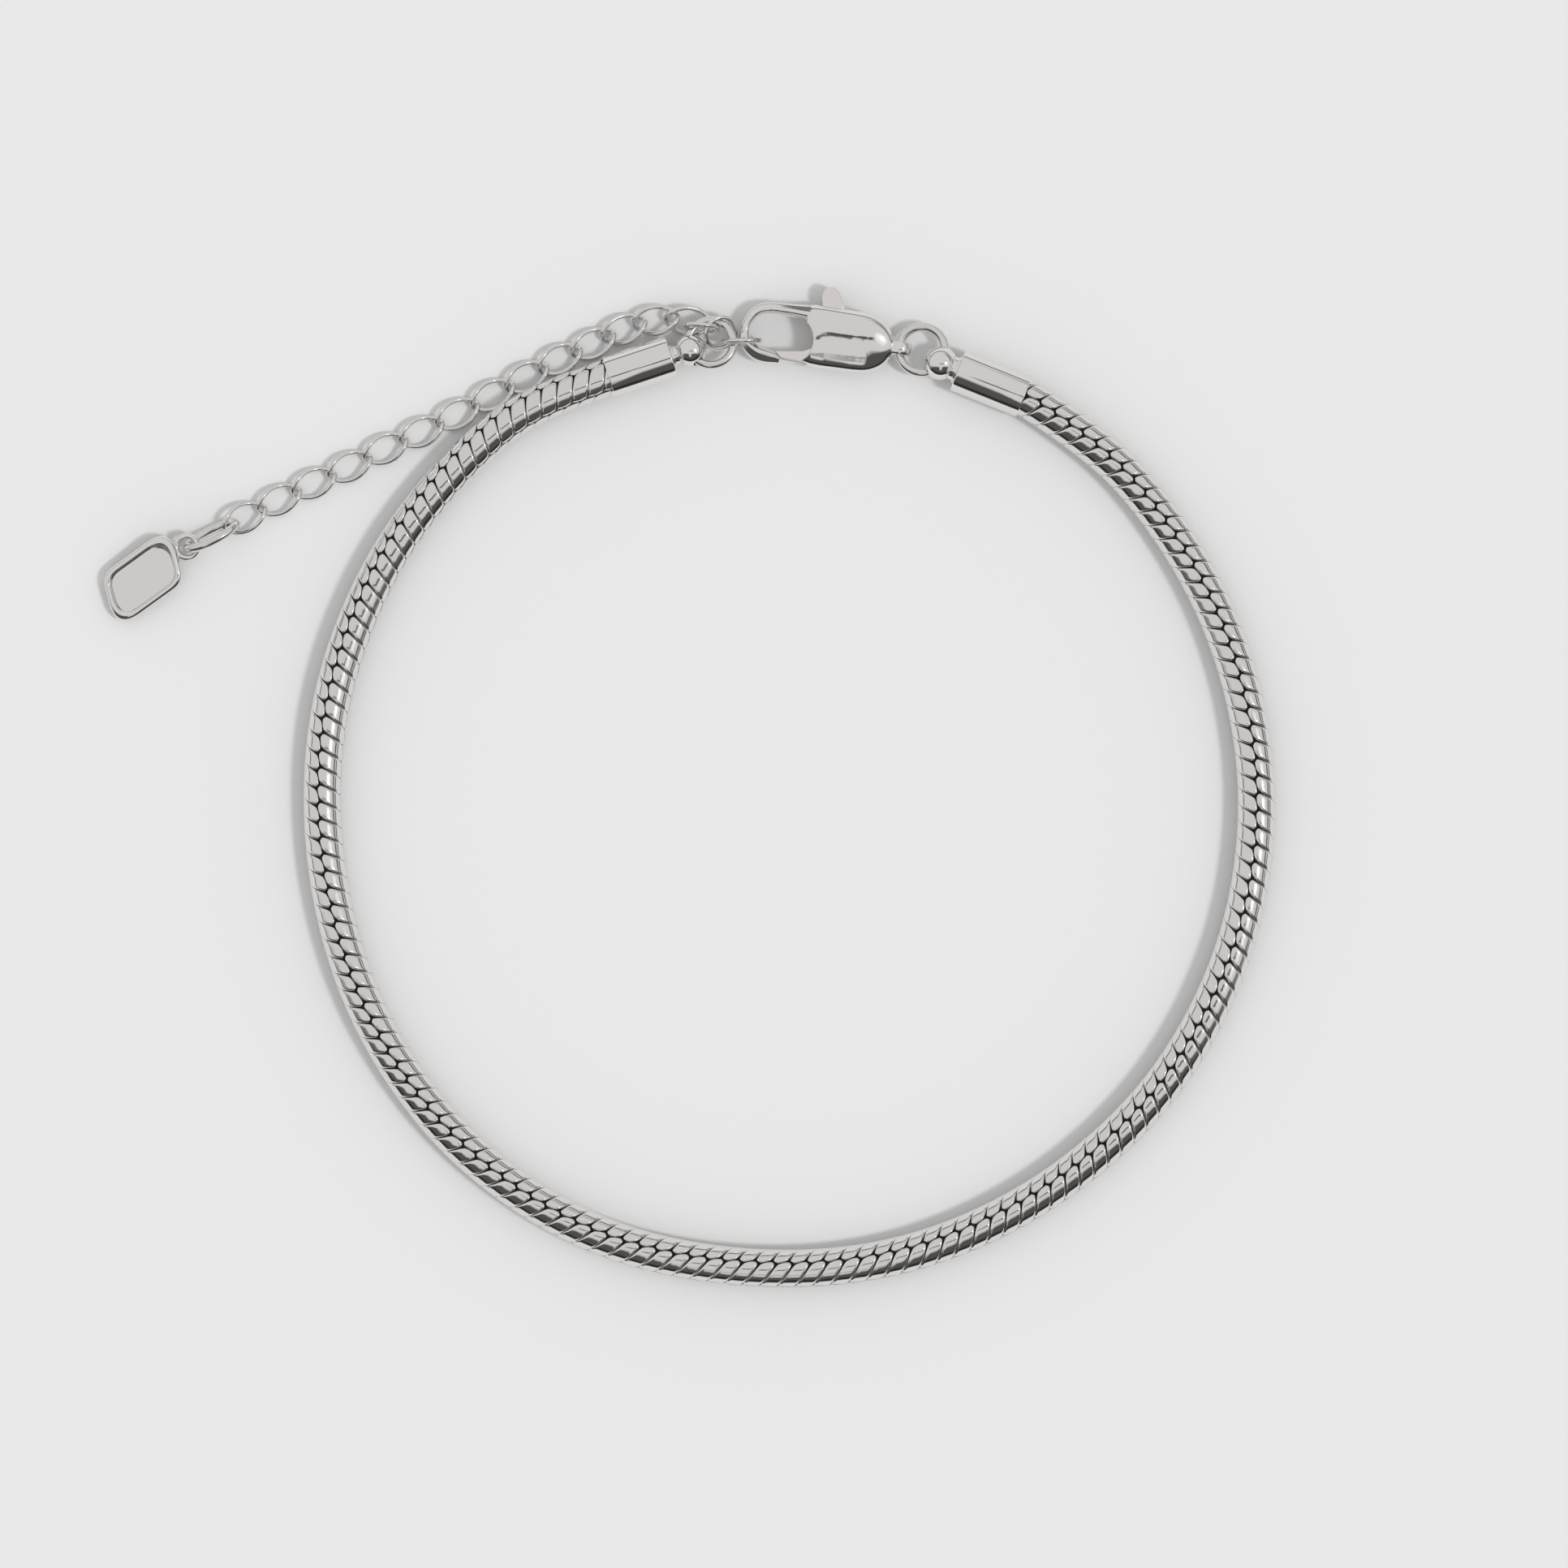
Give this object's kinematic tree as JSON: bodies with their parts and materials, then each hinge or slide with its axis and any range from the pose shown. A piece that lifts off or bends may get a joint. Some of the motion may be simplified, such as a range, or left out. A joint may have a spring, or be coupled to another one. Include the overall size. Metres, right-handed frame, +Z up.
{
  "type": "chain anklet",
  "caption": "Snake-chain anklet lying closed as a round loop, with barrel end caps, a lobster clasp on a jump ring, and a curb-chain extender ending in a slanted bare tag",
  "frame": {"origin": "under the middle of the box around the lying anklet, on the surface it lies on", "axes": "+Z up from the surface, +Y from the middle of the loop toward the clasp, +X from the tag's side toward the clasp's tail"},
  "size_m": [0.0914, 0.078, 0.0034],
  "materials": {
    "polished_metal": "polished",
    "bright_metal": "polished"
  },
  "bodies": {
    "anklet": {"snake_chain": "polished_metal", "end_cap_left": "bright_metal", "end_cap_right": "bright_metal", "jump_ring_left": "polished_metal", "jump_ring_right": "polished_metal", "connector_link": "polished_metal", "fastening_link": "polished_metal", "extender_link_00": "polished_metal", "extender_link_01": "polished_metal", "extender_link_02": "polished_metal", "extender_link_03": "polished_metal", "extender_link_04": "polished_metal", "extender_link_05": "polished_metal", "extender_link_06": "polished_metal", "extender_link_07": "polished_metal", "extender_link_08": "polished_metal", "extender_link_09": "polished_metal", "extender_link_10": "polished_metal", "extender_link_11": "polished_metal", "extender_link_12": "polished_metal", "extender_link_13": "polished_metal", "extender_link_14": "polished_metal", "tag_jump_ring": "polished_metal", "tag": "polished_metal", "clasp_body": "bright_metal"},
    "lever": {"clasp_lever": "bright_metal"}
  },
  "joints": [
    {"name": "clasp_lever_hinge", "type": "hinge", "parent": "anklet", "child": "lever", "pos_m": [0.0111, 0.03451, 0.00149], "axis": [0, 0, -1], "range_deg": [0, 20], "stiffness_Nm_per_rad": 0.001, "springref_deg": -20.05}
  ]
}
